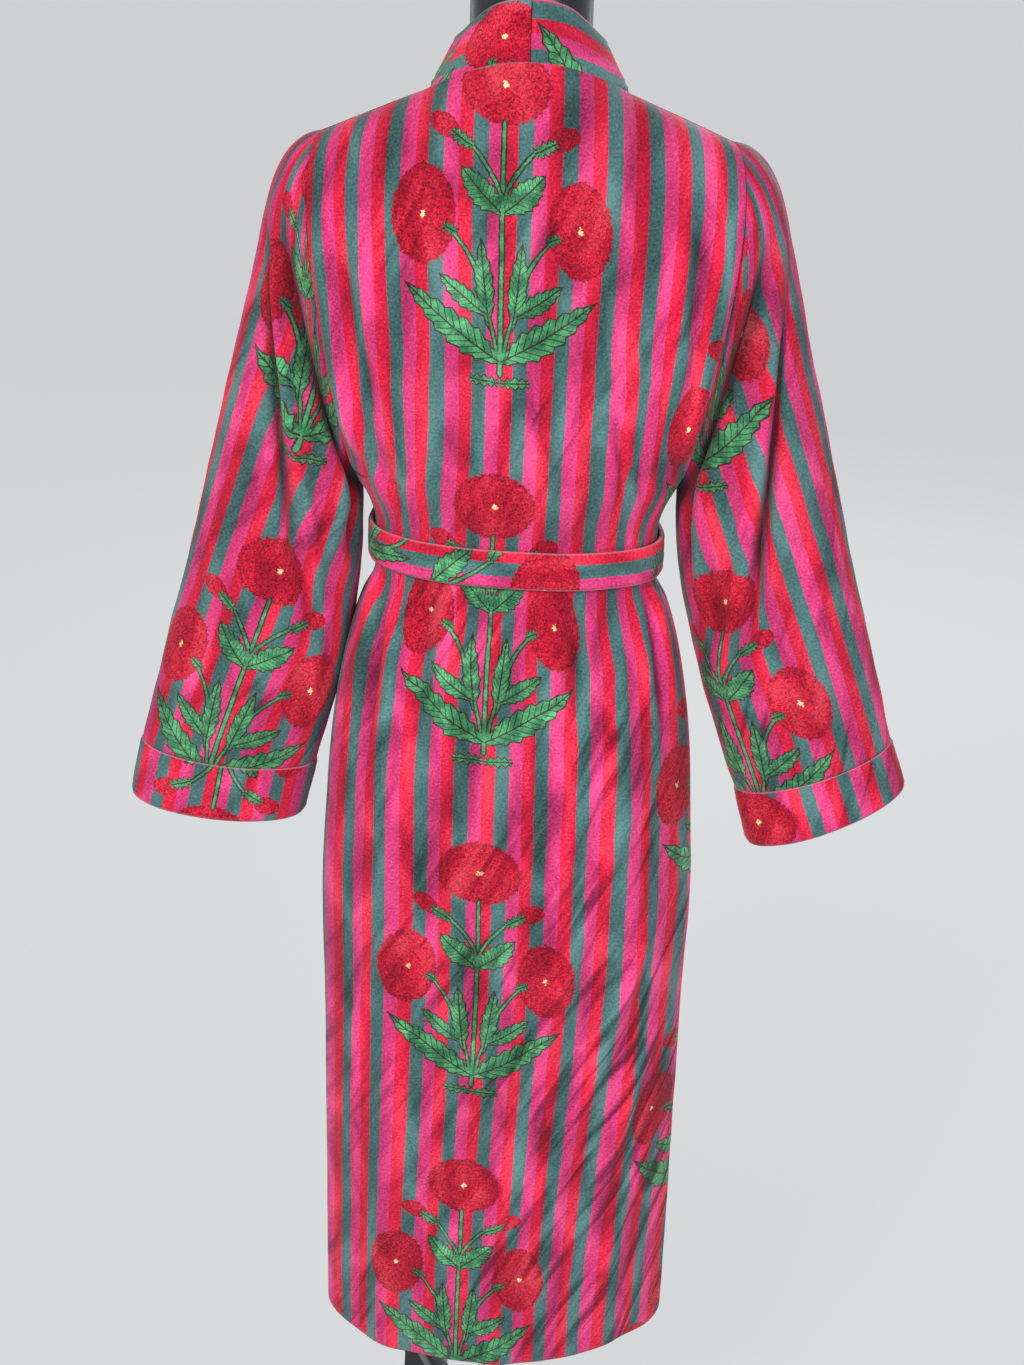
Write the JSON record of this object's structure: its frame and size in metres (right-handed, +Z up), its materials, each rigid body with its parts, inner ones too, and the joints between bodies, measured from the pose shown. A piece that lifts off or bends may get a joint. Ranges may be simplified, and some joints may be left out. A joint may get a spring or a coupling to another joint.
{
  "type": "velvet kimono robe on dress form",
  "caption": "Wrapped velvet kimono robe with wide sleeves, band collar and tie belt, worn on a limbless dress form with a castor stand.",
  "frame": {"origin": "on the floor at the middle of the object's plan, 7.5 mm to the wearer's right of the form's column", "axes": "+Z up; -Y is the robe's front and +X the wearer's left"},
  "size_m": [0.703, 0.4478, 1.59],
  "materials": {
    "velvet": "striped and flowered printed cotton velvet",
    "velvet_band": "the same printed velvet, doubled, stripes along the band",
    "form_gloss": "glossy black moulded shell",
    "chrome": "polished chrome tube",
    "black_enamel": "black enamelled steel",
    "castor_black": "moulded black nylon",
    "castor_grey": "grey moulded wheel"
  },
  "bodies": {
    "form_and_robe": {"back": "velvet", "front_left": "velvet", "front_right": "velvet", "sleeve_left": "velvet", "sleeve_right": "velvet", "cuff_left": "velvet_band", "cuff_right": "velvet_band", "collar_left": "velvet_band", "collar_right": "velvet_band", "belt": "velvet_band", "belt_knot": "velvet_band", "belt_end_left": "velvet_band", "belt_end_right": "velvet_band", "form_torso": "form_gloss", "pole": "chrome", "base_hub": "black_enamel", "leg_1": "black_enamel", "leg_2": "black_enamel", "leg_3": "black_enamel", "leg_4": "black_enamel"},
    "swivel_1": {"castor_1": "castor_black"},
    "roller_1": {"wheel_1": "castor_grey"},
    "swivel_2": {"castor_2": "castor_black"},
    "roller_2": {"wheel_2": "castor_grey"},
    "swivel_3": {"castor_3": "castor_black"},
    "roller_3": {"wheel_3": "castor_grey"},
    "swivel_4": {"castor_4": "castor_black"},
    "roller_4": {"wheel_4": "castor_grey"}
  },
  "joints": [
    {"name": "castor_swivel_1", "type": "hinge", "parent": "form_and_robe", "child": "swivel_1", "pos_m": [0.0965, -0.20665, 0.0577], "axis": [0, 0, 1], "continuous": true},
    {"name": "wheel_roll_1", "type": "hinge", "parent": "swivel_1", "child": "roller_1", "pos_m": [0.0845, -0.20665, 0.025], "axis": [0, 1, 0], "continuous": true},
    {"name": "castor_swivel_2", "type": "hinge", "parent": "form_and_robe", "child": "swivel_2", "pos_m": [0.21415, 0.089, 0.0577], "axis": [0, 0, 1], "continuous": true},
    {"name": "wheel_roll_2", "type": "hinge", "parent": "swivel_2", "child": "roller_2", "pos_m": [0.21415, 0.077, 0.025], "axis": [-1, 0, 0], "continuous": true},
    {"name": "castor_swivel_3", "type": "hinge", "parent": "form_and_robe", "child": "swivel_3", "pos_m": [-0.0815, 0.20665, 0.0577], "axis": [0, 0, 1], "continuous": true},
    {"name": "wheel_roll_3", "type": "hinge", "parent": "swivel_3", "child": "roller_3", "pos_m": [-0.0695, 0.20665, 0.025], "axis": [0, -1, 0], "continuous": true},
    {"name": "castor_swivel_4", "type": "hinge", "parent": "form_and_robe", "child": "swivel_4", "pos_m": [-0.19915, -0.089, 0.0577], "axis": [0, 0, 1], "continuous": true},
    {"name": "wheel_roll_4", "type": "hinge", "parent": "swivel_4", "child": "roller_4", "pos_m": [-0.19915, -0.077, 0.025], "axis": [1, 0, 0], "continuous": true}
  ]
}
